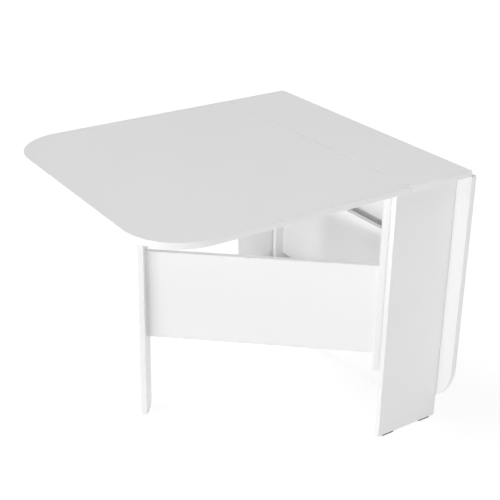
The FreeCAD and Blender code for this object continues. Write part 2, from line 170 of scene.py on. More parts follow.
def laminate_material():
    """White melamine: a pearl emboss, faint clouding, hairline scratches and handled edges."""
    t = Tree("white_laminate_finish", (0.8, 0.8, 0.8))
    handled = t.math("MULTIPLY", t.attribute("edge"), t.fit(t.noise(55, 4, 0.6), 0.42, 0.62, 0.0, 1.0))
    clouds = t.fit(t.noise(2.3, 3, 0.55), 0.3, 0.7, 0.0, 1.0)
    smudges = t.fit(t.noise(11, 4, 0.6), 0.5, 0.72, 0.0, 1.0)
    fine = t.noise(1400, 2, 0.6)

    base = t.mix(clouds, (0.895, 0.895, 0.898), (0.912, 0.912, 0.912))
    base = t.mix(t.math("MULTIPLY", t.fit(fine, 0.3, 0.7, 0.0, 1.0), 0.10), base, (0.83, 0.83, 0.83))
    base = t.mix(t.math("MULTIPLY", handled, 0.16), base, (0.76, 0.75, 0.72))

    hairlines = []
    for angle, length, width in ((0.35, 2.6, 240.0), (-1.1, 3.4, 300.0)):
        slanted = t.add("ShaderNodeMapping")
        t.feed(t.place, slanted.inputs["Vector"])
        slanted.inputs["Rotation"].default_value = (angle * 0.3, 0.0, angle)
        drawn_out = t.stretched((length, width, width), slanted.outputs[0])
        line = t.cells(1.0, feature="DISTANCE_TO_EDGE", place=drawn_out)
        hairlines.append(t.fit(line, 0.0, 0.035, 1.0, 0.0))
    where = t.fit(t.noise(6, 2, 0.5), 0.56, 0.66, 0.0, 1.0)
    scratches = t.math("MULTIPLY", t.math("MAXIMUM", *hairlines), where)

    roughness = t.fit(t.noise(420, 2, 0.5), 0.3, 0.7, 0.40, 0.47)
    roughness = t.math("ADD", roughness, t.math("MULTIPLY", smudges, 0.05))
    roughness = t.math("SUBTRACT", roughness, t.math("MULTIPLY", handled, 0.12))
    roughness = t.math("ADD", roughness, t.math("MULTIPLY", scratches, 0.10))

    coarse_grain = t.math("MULTIPLY", t.noise(620, 2, 0.45), 0.7)
    fine_grain = t.math("MULTIPLY", t.noise(1900, 1, 0.5), 0.3)
    normal = t.bump(t.math("ADD", coarse_grain, fine_grain), 0.00005, 0.5)
    normal = t.bump(scratches, -0.000015, 0.4, normal)
    return t.finish(base, roughness, normal, Specular_IOR_Level=0.45)


def banding_material():
    """Extruded plastic banding: smoother than the laminate, with faint lines along it and buffed corners."""
    t = Tree("edge_banding_finish", (0.82, 0.82, 0.82))
    along = t.add("ShaderNodeUVMap", uv_map="strip").outputs["UV"]
    drawn = t.noise(1.0, 3, 0.55, t.stretched((9.0, 2600.0, 1.0), along))
    ripples = t.noise(1.0, 2, 0.5, t.stretched((75.0, 60.0, 1.0), along))
    scuffs = t.math("MULTIPLY", t.attribute("edge"), t.fit(t.noise(160, 4, 0.65), 0.5, 0.64, 0.0, 1.0))
    base = t.mix(t.fit(drawn, 0.3, 0.7, 0.0, 1.0), (0.900, 0.900, 0.901), (0.918, 0.918, 0.920))
    base = t.mix(t.math("MULTIPLY", scuffs, 0.25), base, (0.70, 0.69, 0.66))
    roughness = t.math("ADD", t.fit(drawn, 0.3, 0.7, 0.30, 0.40), t.math("MULTIPLY", scuffs, 0.15))
    normal = t.bump(drawn, 0.00003, 0.35)
    normal = t.bump(ripples, 0.00008, 0.2, normal)
    return t.finish(base, roughness, normal, Specular_IOR_Level=0.5)


def glue_material():
    """The hairline joint between the laminate and its banding."""
    t = Tree("glue_line_finish", (0.55, 0.54, 0.5))
    base = t.mix(t.fit(t.noise(90, 3, 0.6), 0.35, 0.65, 0.0, 1.0), (0.50, 0.49, 0.46), (0.68, 0.67, 0.65))
    roughness = t.fit(t.noise(300, 2, 0.5), 0.3, 0.7, 0.5, 0.65)
    return t.finish(base, roughness, t.bump(t.noise(700, 2, 0.5), 0.00004))


def chipboard_material():
    """The raw core at the sawn ends: pressed flakes of different tones with open pores, whose near-black
    colour is painted shade inside them.
    """
    t = Tree("raw_chipboard_finish", (0.45, 0.33, 0.2))
    squashed = t.stretched((260.0, 260.0, 620.0))
    tone = t.add("ShaderNodeSeparateColor")
    t.feed(t.cells(1.0, "Color", place=squashed), tone.inputs[0])
    pores = t.fit(t.noise(900, 3, 0.7), 0.36, 0.46, 1.0, 0.0)
    base = t.mix(tone.outputs[0], (0.34, 0.235, 0.135), (0.62, 0.475, 0.31))
    base = t.mix(t.math("MULTIPLY", tone.outputs[1], 0.4), base, (0.50, 0.40, 0.27))
    # painted shade: the open pores are real, but their near-black colour stands in for the shade inside them;
    # the bump sinks them only a little
    base = t.mix(pores, base, (0.13, 0.085, 0.05))
    height = t.math("SUBTRACT", t.cells(1.0, place=squashed), t.math("MULTIPLY", pores, 0.8))
    return t.finish(base, t.fit(tone.outputs[1], 0.0, 1.0, 0.78, 0.95), t.bump(height, 0.0002, 0.8))


def plastic_material(name, dark, light, rough, grain):
    """Moulded plastic with a spark-eroded grain, faint flow clouds and rubbed rims."""
    t = Tree(name, light)
    rubbed = t.math("MULTIPLY", t.attribute("edge"), t.fit(t.noise(230, 4, 0.6), 0.45, 0.6, 0.0, 1.0))
    base = t.mix(t.fit(t.noise(60, 3, 0.5), 0.3, 0.7, 0.0, 1.0), dark, light)
    base = t.mix(t.math("MULTIPLY", rubbed, 0.35), base, tuple(min(1.0, 1.5 * part + 0.03) for part in light))
    roughness = t.fit(t.noise(700, 2, 0.5), 0.3, 0.7, rough - 0.06, rough + 0.06)
    return t.finish(base, roughness, t.bump(t.noise(2400, 2, 0.6), grain, 0.6), Specular_IOR_Level=0.5)


def metal_material(name, dark, light, rough, stretch, spangle=0.0):
    """Plated steel or zinc: brushing along one axis, cloudy plating, worn edges and optional spangle."""
    t = Tree(name, light)
    brushed = t.noise(1.0, 3, 0.6, t.stretched(stretch))
    clouds = t.noise(140, 3, 0.55)
    base = t.mix(t.fit(brushed, 0.3, 0.7, 0.0, 1.0), dark, light)
    base = t.mix(t.fit(clouds, 0.45, 0.75, 0.0, 0.35), base, tuple(0.72 * part for part in light))
    if spangle:
        tone = t.add("ShaderNodeSeparateColor")
        t.feed(t.cells(420, "Color"), tone.inputs[0])
        base = t.mix(t.math("MULTIPLY", tone.outputs[0], spangle), base, tuple(0.6 * part for part in dark))
    roughness = t.fit(brushed, 0.3, 0.7, rough - 0.07, rough + 0.07)
    roughness = t.math("ADD", roughness, t.math("MULTIPLY", clouds, 0.08))
    return t.finish(base, roughness, t.bump(brushed, 0.00003, 0.35), Metallic=1.0)


def coated_material(name, axis):
    """White powder coat with a fine orange peel, rubbed through where the knuckles meet along the axis."""
    t = Tree(name, (0.8, 0.8, 0.8))
    split = t.add("ShaderNodeSeparateXYZ")
    t.feed(t.place, split.inputs[0])
    low, high = HINGE_SPANS[axis]
    along = t.math("DIVIDE", t.math("SUBTRACT", split.outputs[axis], low), (high - low) / KNUCKLES)
    joint = t.math("ABSOLUTE", t.math("SUBTRACT", along, t.math("ROUND", along)))
    near_joint = t.fit(joint, 0.015, 0.05, 1.0, 0.0)
    rubbed = t.math("MULTIPLY", near_joint, t.fit(t.noise(340, 4, 0.65), 0.5, 0.62, 0.0, 1.0))
    base = t.mix(t.fit(t.noise(70, 3, 0.5), 0.3, 0.7, 0.0, 1.0), (0.86, 0.86, 0.865), (0.895, 0.895, 0.90))
    base = t.mix(t.math("MULTIPLY", rubbed, 0.55), base, (0.42, 0.42, 0.41))
    roughness = t.fit(t.noise(500, 2, 0.5), 0.3, 0.7, 0.34, 0.44)
    roughness = t.math("SUBTRACT", roughness, t.math("MULTIPLY", rubbed, 0.1))
    normal = t.bump(t.noise(1500, 2, 0.5), 0.00006, 0.4)
    return t.finish(base, roughness, normal, Specular_IOR_Level=0.5)


def wood_material():
    """Beech dowel: straight grain with small flecks."""
    t = Tree("dowel_wood_finish", (0.6, 0.42, 0.26))
    grain = t.noise(1.0, 4, 0.6, t.stretched((520.0, 38.0, 520.0)))
    flecks = t.fit(t.cells(1.0, place=t.stretched((1500.0, 240.0, 1500.0))), 0.0, 0.25, 1.0, 0.0)
    base = t.mix(t.fit(grain, 0.3, 0.7, 0.0, 1.0), (0.50, 0.33, 0.19), (0.70, 0.52, 0.34))
    base = t.mix(t.math("MULTIPLY", flecks, 0.5), base, (0.36, 0.21, 0.11))
    return t.finish(base, t.fit(grain, 0.3, 0.7, 0.55, 0.7), t.bump(grain, 0.0001, 0.5))


LAMINATE = laminate_material()
BANDING = banding_material()
GLUE = glue_material()
CHIPBOARD = chipboard_material()
CAP_PLASTIC = plastic_material("cap_plastic_finish", (0.76, 0.76, 0.755), (0.80, 0.80, 0.80), 0.42, 0.00003)
GLIDE_PLASTIC = plastic_material(
    "glide_plastic_finish", (0.014, 0.014, 0.015), (0.022, 0.022, 0.023), 0.62, 0.00006
)
LEAF_HINGE_COAT = coated_material("leaf_hinge_finish", 1)
GATE_HINGE_COAT = coated_material("gate_hinge_finish", 2)
BRACKET_STEEL = metal_material(
    "bracket_finish", (0.45, 0.46, 0.47), (0.62, 0.63, 0.64), 0.42, (300, 300, 300), 0.5
)
SCREW_ZINC = metal_material("screw_finish", (0.42, 0.42, 0.43), (0.60, 0.61, 0.63), 0.30, (900, 900, 900))
CAM_ZINC = metal_material("cam_finish", (0.36, 0.36, 0.37), (0.52, 0.52, 0.53), 0.46, (500, 500, 500), 0.25)
DOWEL_WOOD = wood_material()


# Mesh making


class Mesh:
    """Collects vertices, faces, an edge-wear value per vertex and strip coordinates per corner."""

    def __init__(self):
        self.bm = bmesh.new()
        self.wear = self.bm.verts.layers.float.new("edge")
        self.uv = self.bm.loops.layers.uv.new("strip")

    def vertex(self, point, wear=0.0):
        vertex = self.bm.verts.new(point)
        vertex[self.wear] = wear
        return vertex

    def face(self, vertices, material=0, uvs=None):
        face = self.bm.faces.new(vertices)
        face.material_index = material
        for loop, uv in zip(face.loops, uvs or ()):
            loop[self.uv].uv = uv
        return face

    def loft(self, rings, first_cap=True):
        """Joins equal rings of vertices with quads and closes the ends."""
        for low, high in zip(rings, rings[1:]):
            for here in range(len(low)):
                there = (here + 1) % len(low)
                self.face([low[here], low[there], high[there], high[here]])
        if first_cap:
            self.face(rings[0][::-1])
        self.face(rings[-1])

    def object(self, name, materials, matrix=None, sharp=32.0):
        """The finished object, smooth except along edges sharper than the given angle."""
        bmesh.ops.recalc_face_normals(self.bm, faces=self.bm.faces[:])
        for face in self.bm.faces:
            face.smooth = True
        for edge in self.bm.edges:
            edge.smooth = len(edge.link_faces) == 2 and edge.calc_face_angle(0.0) < math.radians(sharp)
        mesh = bpy.data.meshes.new(name)
        self.bm.to_mesh(mesh)
        self.bm.free()
        for material in materials:
            mesh.materials.append(material)
        if matrix is not None:
            mesh.transform(matrix)
        made = bpy.data.objects.new(name, mesh)
        bpy.context.scene.collection.objects.link(made)
        return made


def lathe(mesh, profile, place=Matrix(), segments=32, wear=None):
    """Turns (radius, height) pairs in millimetres about the place's Z axis."""
    rings = []
    for index, (radius, height) in enumerate(profile):
        radius, height = radius * MM, height * MM
        ring = []
        for step in range(segments):
            angle = 2 * math.pi * step / segments
            point = place @ Vector((radius * math.cos(angle), radius * math.sin(angle), height))
            ring.append(mesh.vertex(point, wear[index] if wear else 0.0))
        rings.append(ring)
    mesh.loft(rings)


def inset(outline, distance):
    """A counter-clockwise convex outline moved inwards along its corners' bisectors."""
    moved = []
    for before, here, after in zip(outline[-1:] + outline[:-1], outline, outline[1:] + outline[:1]):
        coming, leaving = (here - before).normalized(), (after - here).normalized()
        bisector = Vector((-(coming.y + leaving.y), coming.x + leaving.x))
        cosine = bisector.length / 2
        moved.append(here + bisector.normalized() * (distance / cosine))
    return moved


def rectangle(low, high):
    """Four corners, counter-clockwise."""
    (left, bottom), (right, top) = low, high
    return [Vector(corner) for corner in ((left, bottom), (right, bottom), (right, top), (left, top))]


def rounded(outline, radii, steps):
    """Rounds a rectangle's corners with the given radii, each in the given number of steps."""
    points = []
    earlier, later = outline[-1:] + outline[:-1], outline[1:] + outline[:1]
    for before, here, after, radius in zip(earlier, outline, later, radii):
        if radius == 0:
            points.append(here.copy())
            continue
        back, on = (before - here).normalized(), (after - here).normalized()
        centre = here + (back + on) * radius
        for step in range(steps + 1):
            angle = math.pi / 2 * step / steps
            points.append(centre - on * radius * math.cos(angle) - back * radius * math.sin(angle))
    return points


def slab(mesh, outline, thickness, raw_axis=None):
    """A laminated core lying on Z = 0: rings near its rim carry the edge wear, and walls that face the
    raw axis (0 for X, 1 for Y) show chipboard. Materials: 0 laminate, 1 chipboard."""
    steps = ((0.0, 0.10), (0.10, 0.0), (2.5, 0.0), (9.0, 0.0), (26.0, 0.0))     # mm from the rim, mm down
    wears = (1.0, 1.0, 0.45, 0.12, 0.0)
    sides = []
    for level, sign in ((0.0, 1), (thickness, -1)):
        rings = []
        for (distance, drop), wear in zip(steps, wears):
            height = level + sign * drop * MM
            ring = [mesh.vertex((*point, height), wear) for point in inset(outline, distance * MM)]
            rings.append(ring)
        sides.append(rings)
    for rings in sides:
        mesh.loft(rings, first_cap=False)
    low, high = sides[0][0], sides[1][0]
    for here in range(len(outline)):
        there = (here + 1) % len(outline)
        along = outline[there] - outline[here]
        wall_axis = 0 if abs(along.y) > abs(along.x) else 1
        mesh.face([low[here], low[there], high[there], high[here]], 1 if wall_axis == raw_axis else 0)


def band_section(band, thickness):
    """Banding's cross-section as (depth from its face, height): rounded outside, chamfered inside."""
    radius, chamfer = 0.55 * MM, 0.12 * MM
    section = [(band, chamfer), (band - chamfer, 0.0)]
    for step in range(5):
        angle = math.pi / 2 * step / 4
        section.append((radius * (1 - math.sin(angle)), radius * (1 - math.cos(angle))))
    for quarter in (0.33, 0.67):
        section.append((0.0, thickness * quarter))
    for step in range(5):
        angle = math.pi / 2 * step / 4
        section.append((radius * (1 - math.cos(angle)), thickness - radius * (1 - math.sin(angle))))
    section += [(band - chamfer, thickness), (band, thickness - chamfer)]
    return section


def banding_wear(row, rows):
    """The wear of a row of banding's section: most on its rounded corners."""
    return 1.0 if 1 < row < 7 or rows - 8 < row < rows - 2 else 0.15


def banding_faces(mesh, rings, uvs):
    """Joins sections of banding. The chamfers against the board are the glue line."""
    for step, (low, high) in enumerate(zip(rings, rings[1:])):
        rows = len(low)
        for here in range(rows):
            there = (here + 1) % rows
            material = 1 if here in (0, rows - 2) else 0
            corners = [uvs[step][here], uvs[step][here + 1], uvs[step + 1][here + 1], uvs[step + 1][here]]
            mesh.face([low[here], low[there], high[there], high[here]], material, corners)


def banding_ring(mesh, outline, band, thickness):
    """Banding all round an outline. Materials: 0 banding, 1 glue line."""
    section = band_section(band, thickness)
    rings, uvs, around = [], [], 0.0
    across = [0.0]
    for (depth, height), (next_depth, next_height) in zip(section, section[1:]):
        across.append(across[-1] + math.hypot(next_depth - depth, next_height - height))
    insets = [inset(outline, depth) for depth, _ in section]
    for index in range(len(outline)):
        ring = []
        for row, (depth, height) in enumerate(section):
            ring.append(mesh.vertex((*insets[row][index], height), banding_wear(row, len(section))))
        rings.append(ring)
        uvs.append([(around, value) for value in across + [across[-1] + thickness]])
        around += (outline[(index + 1) % len(outline)] - outline[index]).length
    rings.append(rings[0])
    uvs.append([(around, value) for value in across + [across[-1] + thickness]])
    banding_faces(mesh, rings, uvs)


def banding_strip(mesh, start, along, outward, across, length, band, thickness):
    """A straight strip of banding from its inner lower corner. Materials: 0 banding, 1 glue line."""
    section = band_section(band, thickness)
    count = len(section)
    nick = 0.15 * MM
    stops = ((0.0, nick), (nick, 0.0), (length / 2, 0.0), (length - nick, 0.0), (length, nick))
    rings, uvs = [], []
    for place, shrink in stops:
        ring, row_uvs, run = [], [], 0.0
        for row, (depth, height) in enumerate(section):
            height = min(max(height, shrink), thickness - shrink)
            point = start + along * place + outward * (band - max(depth, shrink)) + across * height
            ring.append(mesh.vertex(point, banding_wear(row, count)))
            row_uvs.append((place, run))
            run += thickness / count
        rings.append(ring)
        uvs.append(row_uvs + [(place, run)])
    banding_faces(mesh, rings, uvs)
    mesh.face(rings[0][::-1])
    mesh.face(rings[-1])


def less(piece, cutter, crossing=False):
    """The mesh of a piece less the cutter, which is removed. A crossing cutter may cross itself."""
    modifier = piece.modifiers.new("cut", "BOOLEAN")
    modifier.operation, modifier.solver, modifier.object = "DIFFERENCE", "EXACT", cutter
    modifier.use_self = crossing
    bpy.context.view_layer.update()
    graph = bpy.context.evaluated_depsgraph_get()
    evaluated = piece.evaluated_get(graph)
    mesh = bpy.data.meshes.new_from_object(evaluated, preserve_all_data_layers=True, depsgraph=graph)
    bpy.data.objects.remove(cutter)
    return mesh


def drilled(piece, holes=(), seats=()):
    """Cuts (place, profile) holes, each turned about its place's Z axis, and (low, high) box-shaped
    seats in a piece."""
    cutter_mesh = Mesh()
    for place, profile in holes:
        lathe(cutter_mesh, profile, place, 28)
    for low, high in seats:
        outline = rounded(rectangle((low.x, low.y), (high.x, high.y)), (SLACK,) * 4, 2)
        rings = [[cutter_mesh.vertex((*point, height)) for point in outline] for height in (low.z, high.z)]
        cutter_mesh.loft(rings)
    cutter = cutter_mesh.object(piece.name + "_cutter", [])
    for hole_material in piece.data.materials:
        cutter.data.materials.append(hole_material)
    for polygon in cutter.data.polygons:
        polygon.material_index = len(piece.data.materials) - 1
    mesh, whole = less(piece, cutter), piece.data
    piece.modifiers.clear()
    piece.data = mesh
    mesh.name = piece.name
    bpy.data.meshes.remove(whole)
    return piece


def settle(piece, body, slot, *nodes):
    """Attaches a piece to its body and lets it stand for CAD nodes, which it hides; the slot is not used."""
    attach(piece, body)
    if nodes:
        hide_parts(*nodes)


def turned(name, source, matrix, body, slot, *nodes):
    """A copy of a finished piece, moved by a matrix in its mesh."""
    mesh = source.data.copy()
    mesh.transform(matrix)
    mesh.name = name
    piece = bpy.data.objects.new(name, mesh)
    bpy.context.scene.collection.objects.link(piece)
    settle(piece, body, slot, *nodes)


def axes_frame(origin, x_axis, y_axis):
    """A matrix whose X and Y axes point along the given ones."""
    matrix = Matrix.Identity(4)
    for column, axis in enumerate((x_axis, y_axis, x_axis.cross(y_axis))):
        matrix.col[column][:3] = axis
    matrix.translation = origin
    return matrix


X, Y, Z = Vector((1, 0, 0)), Vector((0, 1, 0)), Vector((0, 0, 1))
TOP_LOW, TOP_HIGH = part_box("fixed_top_edging")
CORE_LOW, CORE_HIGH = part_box("fixed_top")
BAND = CORE_LOW.x - TOP_LOW.x
BOARD = TOP_HIGH.z - TOP_LOW.z
MIDDLE = (TOP_LOW.x + TOP_HIGH.x) / 2
SLACK = 0.2 * MM            # around a hinge plate in its seat
BAND_CORNER = 0.6 * MM      # where banding turns a square corner
CAM_RADIUS = 7.5 * MM
BRACKET_SHEET = 1.5 * MM
BRACKET_HOLE = 16 * MM      # from the bracket's corner

# The open left gate is the closed right one turned by half a turn and then opened about its hinge.
LEFT_SWING = JOINTS["left_gate_swing"]
OPEN_ANGLE = math.radians(-LEFT_SWING["range_deg"][0])
LEFT_POST = Vector(LEFT_SWING["pos_m"])


def turn_about(point, angle):
    """A turn about a vertical axis through a point."""
    return Matrix.Translation(point) @ Matrix.Rotation(angle, 4, "Z") @ Matrix.Translation(-point)


TO_LEFT_GATE = turn_about(LEFT_POST, OPEN_ANGLE) @ turn_about(Vector((MIDDLE, 0, 0)), math.pi)


# Boards


def flat_board(name, node, thin, raw, holes=()):
    """The core of a rectangular board from its CAD box. Thin and raw are axis numbers: across the board,
    and towards its sawn ends."""
    low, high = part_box(node)
    first, second = [axis for axis in range(3) if axis != thin]
    if thin == 1:
        first, second = second, first
    axes = (X, Y, Z)
    mesh = Mesh()
    size = high - low
    slab(mesh, rectangle((0, 0), (size[first], size[second])), size[thin], 0 if raw == first else 1)
    place = axes_frame(low, axes[first], axes[second])
    piece = mesh.object(name, [LAMINATE, CHIPBOARD], place)
    if holes:
        drilled(piece, holes)
    return piece


def straight_bands(mesh, node, thin, towards, along):
    """Banding on the two edges of a board that face the given axis."""
    low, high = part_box(node)
    axes = (X, Y, Z)
    size = high - low
    for sign in (-1, 1):
        start = low.copy()
        if sign > 0:
            start[towards] = high[towards]
        outward = axes[towards] * sign
        banding_strip(mesh, start, axes[along], outward, axes[thin], size[along], BAND, size[thin])


def hinge_seat(label, edge_axis, back_axis):
    """The recess for half a leaf hinge, from its plate's box: flush with the plate's back, a little wider
    at its ends and far side, and open towards the edge of the board and its face."""
    low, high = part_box(f"{label}_plate")
    pin_low, pin_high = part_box(label.rsplit("_", 1)[0] + "_pin")
    opening = 4 * MM
    low.y, high.y = low.y - SLACK, high.y + SLACK
    if abs(low[edge_axis] - pin_low[edge_axis]) < abs(high[edge_axis] - pin_high[edge_axis]):
        low[edge_axis], high[edge_axis] = low[edge_axis] - opening, high[edge_axis] + SLACK
    else:
        low[edge_axis], high[edge_axis] = low[edge_axis] - SLACK, high[edge_axis] + opening
    low[back_axis] -= opening
    return low, high


def make_top():
    """The fixed top with banding all round."""
    core = Mesh()
    size = CORE_HIGH - CORE_LOW
    slab(core, rectangle((0, 0), (size.x, size.y)), size.z)
    piece = core.object("fixed_top_board", [LAMINATE, CHIPBOARD], Matrix.Translation(CORE_LOW))
    seats = [hinge_seat(f"{side}_leaf_hinge_inner", 0, 2) for side in ("left", "right")]
    settle(drilled(piece, seats=seats), "carcass", "white_laminate", "fixed_top")
    ring = Mesh()
    outer = rectangle((0, 0), (TOP_HIGH.x - TOP_LOW.x, TOP_HIGH.y - TOP_LOW.y))
    banding_ring(ring, rounded(outer, (BAND_CORNER,) * 4, 4), BAND, BOARD)
    piece = ring.object("fixed_top_band", [BANDING, GLUE], Matrix.Translation(TOP_LOW))
    settle(drilled(piece, seats=seats), "carcass", "edge_banding", "fixed_top_edging")


def leaf_outline(reach, half, radius, hinge_corner):
    """From the hinge side at X = 0 to the free edge, whose two corners are rounded."""
    corners = (hinge_corner, radius, radius, hinge_corner)
    return rounded(rectangle((0, -half), (reach, half)), corners, 28)


def make_leaves():
    """Both leaves, laid out flat from the hinge and stood up for the hanging one."""
    low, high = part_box("left_leaf_edging")
    length, half = high.x - low.x, high.y
    radius = corner_radius("left_leaf_edging")
    hanging_low, hanging_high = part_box("right_leaf_edging")
    raised = axes_frame(Vector((high.x, 0, low.z)), -X, -Y)
    hung = axes_frame(Vector((hanging_low.x, 0, hanging_high.z)), -Z, Y)
    seats = {
        "left": [hinge_seat("left_leaf_hinge_outer", 0, 2)],
        "right": [hinge_seat("right_leaf_hinge_outer", 2, 0)],
    }
    for side, place in (("left", raised), ("right", hung)):
        core = Mesh()
        slab(core, inset(leaf_outline(length, half, radius, 0), BAND), BOARD)
        piece = drilled(core.object(f"{side}_leaf_board", [LAMINATE, CHIPBOARD], place), seats=seats[side])
        settle(piece, f"{side}_leaf", "white_laminate", f"{side}_leaf")
        ring = Mesh()
        banding_ring(ring, leaf_outline(length, half, radius, BAND_CORNER), BAND, BOARD)
        piece = drilled(ring.object(f"{side}_leaf_band", [BANDING, GLUE], place), seats=seats[side])
        settle(piece, f"{side}_leaf", "edge_banding", f"{side}_leaf_edging")


def corner_radius(node):
    """The radius of the raised leaf's corners, from where its straight free edge ends."""
    low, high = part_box(node)
    free = [v.co.y for v in NODES[node].data.vertices if v.co.x < low.x + 1e-5]
    return high.y - max(free)


def make_panels():
    """The two end panels, banded along their upright edges."""
    for side in ("near", "far"):
        node = f"{side}_end_panel"
        piece = flat_board(f"{side}_panel_board", node, thin=1, raw=2)
        settle(piece, "carcass", "white_laminate", node)
        bands = Mesh()
        straight_bands(bands, node, thin=1, towards=0, along=2)
        piece = bands.object(f"{side}_panel_band", [BANDING, GLUE])
        settle(piece, "carcass", "edge_banding", f"{node}_edging")


def make_rails():
    """The two fixed rails, drilled for their cams."""
    cams = cam_places()
    for name, node in (("low_rail_board", "low_rail"), ("top_rail_board", "top_rail")):
        low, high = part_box(node)
        radius = (CAM_RADIUS + 0.05 * MM) / MM
        profile = [(radius, -12.2), (radius, 1)]
        holes = [(place, profile) for place in cams if low.z < place.translation.z < high.z]
        piece = flat_board(name, node, thin=0, raw=1, holes=holes)
        settle(piece, "carcass", "white_laminate", node)
    bands = Mesh()
    straight_bands(bands, "low_rail", thin=0, towards=2, along=1)
    piece = bands.object("low_rail_band", [BANDING, GLUE])
    settle(piece, "carcass", "edge_banding", "low_rail_edging")


def make_gates():
    """The closed right gate in place, and a turned copy of each piece as the open left one."""
    heads = connector_places("right_gate_stile")
    profile = [(2.55, -14), (2.55, -3.05), (4.55, 0.0), (4.55, 0.5)]
    for part, thin, raw, holes in (
        ("leg", 1, 2, ()),
        ("stile", 1, 2, [(place, profile) for place in heads]),
        ("rail", 0, 1, ()),
    ):
        node = f"right_gate_{part}"
        piece = flat_board(f"right_gate_{part}_board", node, thin=thin, raw=raw, holes=holes)
        settle(piece, "right_gate", "white_laminate", node)
        copy = f"left_gate_{part}_board"
        turned(copy, piece, TO_LEFT_GATE, "left_gate", "white_laminate", f"left_gate_{part}")
    bands = Mesh()
    for part in ("leg", "stile"):
        straight_bands(bands, f"right_gate_{part}", thin=1, towards=0, along=2)
    straight_bands(bands, "right_gate_rail", thin=0, towards=2, along=1)
    piece = bands.object("right_gate_band", [BANDING, GLUE])
    settle(piece, "right_gate", "edge_banding", "right_gate_edging")
    turned("left_gate_band", piece, TO_LEFT_GATE, "left_gate", "edge_banding", "left_gate_edging")


# Fasteners and fittings


def spread(low, high, axis, count, radius):
    """Evenly spaced places along an axis whose first and last reach the box's ends."""
    first, last = low[axis] + radius, high[axis] - radius
    return [first + (last - first) * index / (count - 1) for index in range(count)]


def facing(origin, direction):
    """A matrix at origin whose Z axis points along a direction."""
    side = (Z if abs(direction.z) < 0.9 else Y).cross(direction).normalized()
    return axes_frame(origin, side, direction.cross(side))


def cross_cutter(width, reach, depth):
    """A driver cross that narrows towards its bottom."""
    mesh = Mesh()
    for turn in (0.0, math.pi / 2):
        rings = []
        for height, share in ((0.3 * MM, 1.0), (0.0, 1.0), (-depth, 0.45)):
            half, long = width / 2 * (0.6 + 0.4 * share), reach * share
            corners = ((-long, -half), (long, -half), (long, half), (-long, half))
            rings.append([
                mesh.vertex(Matrix.Rotation(turn, 4, "Z") @ Vector((x, y, height))) for x, y in corners
            ])
        mesh.loft(rings)
    return mesh.object("cross_cutter", [])


def hex_cutter(across, depth):
    """A hexagonal socket with an eased rim, in millimetres across the flats."""
    mesh = Mesh()
    radius = across / math.sqrt(3)
    lathe(mesh, [(radius, -depth), (radius, -0.15), (radius * 1.12, 0.3)], segments=6)
    return mesh.object("hex_cutter", [])


def carved(source, cutter):
    """The source's mesh less a cutter that may cross itself; both objects are removed."""
    mesh = less(source, cutter, crossing=True)
    bpy.data.objects.remove(source)
    return mesh


def repeated(name, mesh, places, material):
    """One object that holds a copy of a mesh at every place."""
    joined = bmesh.new()
    for place in places:
        copy = mesh.copy()
        copy.transform(place)
        joined.from_mesh(copy)
        bpy.data.meshes.remove(copy)
    result = bpy.data.meshes.new(name)
    joined.to_mesh(result)
    joined.free()
    result.materials.append(material)
    for polygon in result.polygons:
        polygon.material_index = 0
    made = bpy.data.objects.new(name, result)
    bpy.context.scene.collection.objects.link(made)
    return made


def wood_screw():
    """A countersunk screw with a cross recess; its face is at Z = 0."""
    mesh = Mesh()
    profile = [
        (0.25, -12.0), (1.0, -10.4), (1.4, -9.6), (1.4, -2.0), (1.45, -1.0), (2.72, -0.16), (2.78, -0.08),
        (2.70, -0.01), (2.5, 0.0), (1.2, 0.0),
    ]
    wear = [0, 0, 0, 0, 0, 1, 1, 1, 0.4, 0]
    lathe(mesh, profile, wear=wear)
    return carved(mesh.object("wood_screw", []), cross_cutter(0.75 * MM, 1.55 * MM, 0.8 * MM))


def connector():
    """A one-piece connector with a hexagonal socket; its face is at Z = 0."""
    mesh = Mesh()
    profile = [
        (1.6, -50.0), (2.4, -48.5), (2.4, -4.0), (2.45, -3.0), (4.40, -0.18), (4.45, -0.06), (4.3, 0.0),
        (3.0, 0.0),
    ]
    lathe(mesh, profile, wear=[0, 0, 0, 0, 1, 1, 1, 0])
    return carved(mesh.object("connector", []), hex_cutter(4.0, 2.2))


def cam():
    """A cam lock, its face 0.2 mm under the board's, with a rim, a cross recess and a pointer."""
    mesh = Mesh()
    rim = CAM_RADIUS / MM
    profile = [
        (rim - 0.4, -11.9), (rim, -11.5), (rim, -0.35), (rim - 0.12, -0.2), (rim - 0.9, -0.2),
        (rim - 1.1, -0.55), (3.9, -0.55), (3.7, -0.3), (1.5, -0.3),
    ]
    lathe(mesh, profile, segments=48, wear=[0, 0, 1, 1, 1, 0, 0, 1, 0])
    pointer = [(4.3, -0.75), (5.7, 0.0), (4.3, 0.75)]
    rings = [[mesh.vertex((x * MM, y * MM, h * MM), 1.0) for x, y in pointer] for h in (-0.6, -0.28)]
    mesh.loft(rings)
    return carved(mesh.object("cam", []), cross_cutter(1.3 * MM, 2.9 * MM, 2.4 * MM))


def hinge_screw_places(node, along, face, outward):
    """Where a hinge plate's six screws sit, from the box of their CAD node: the axis they are spread
    along, the axis they point along and the sign of their heads' side."""
    low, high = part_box(node)
    other = 3 - along - face
    axes = (X, Y, Z)
    places = []
    for value in spread(low, high, along, 6, 2.8 * MM):
        point = Vector((0, 0, 0))
        point[along] = value
        point[other] = (low[other] + high[other]) / 2
        point[face] = high[face] if outward > 0 else low[face]
        turn = Matrix.Rotation(0.37 + 1.9 * len(places), 4, "Z")
        places.append(facing(point, axes[face] * outward) @ turn)
    return places


def connector_places(node):
    """The two connectors on the outer face of an upright of the right gate."""
    rail_low, rail_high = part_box("right_gate_rail")
    setback = 40 * MM - BAND
    middle = (rail_low.x + rail_high.x) / 2
    outer = connector_face(node)
    direction = Y if outer > (rail_low.y + rail_high.y) / 2 else -Y
    return [
        facing(Vector((middle, outer, height)), direction)
        for height in (rail_low.z + setback, rail_high.z - setback)
    ]


